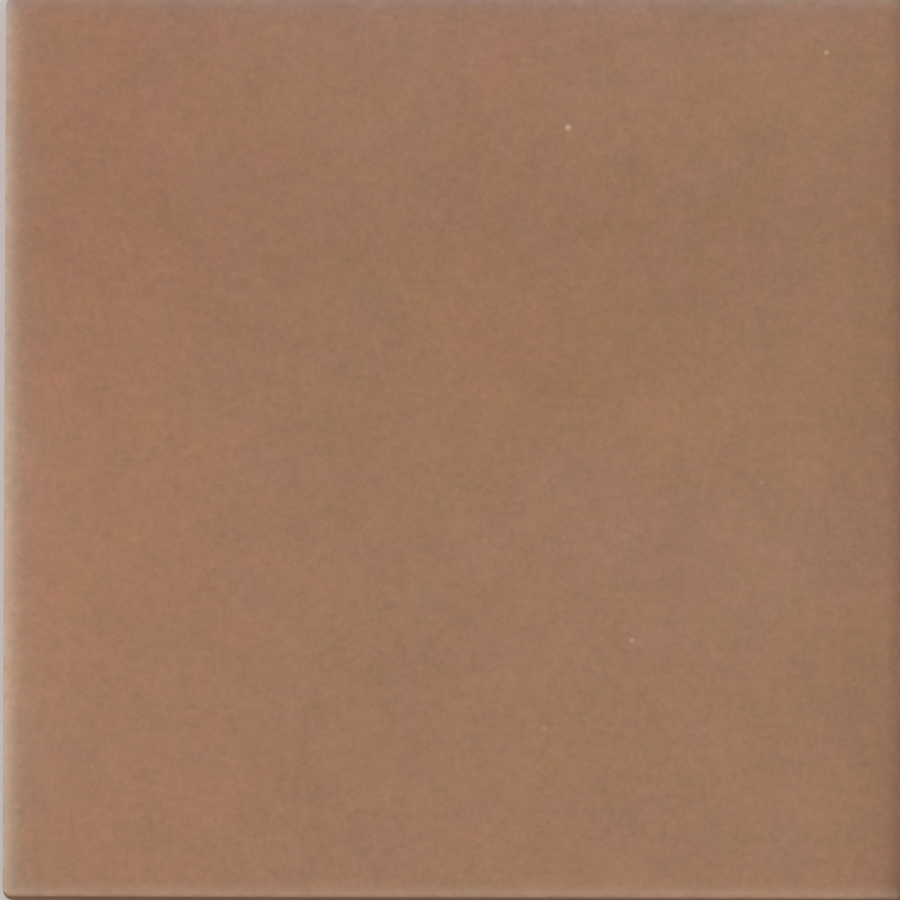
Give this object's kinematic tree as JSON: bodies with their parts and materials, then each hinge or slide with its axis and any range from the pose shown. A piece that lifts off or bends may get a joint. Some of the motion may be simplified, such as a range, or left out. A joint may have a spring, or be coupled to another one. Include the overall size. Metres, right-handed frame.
{
  "type": "square floor tile",
  "caption": "Plain square floor tile of unglazed brown fired clay, with a cushioned edge round its flat face and a grooved back that keys into mortar.",
  "frame": {"origin": "middle of the back, in the plane of the rib faces that the tile rests on", "axes": "+Z out of the face, square to it; Y along the keying grooves of the back; X across them"},
  "size_m": [0.15, 0.15, 0.012],
  "materials": {
    "fired_clay": "unglazed, matt to satin"
  },
  "bodies": {
    "root": {"tile": "fired_clay"}
  },
  "joints": []
}
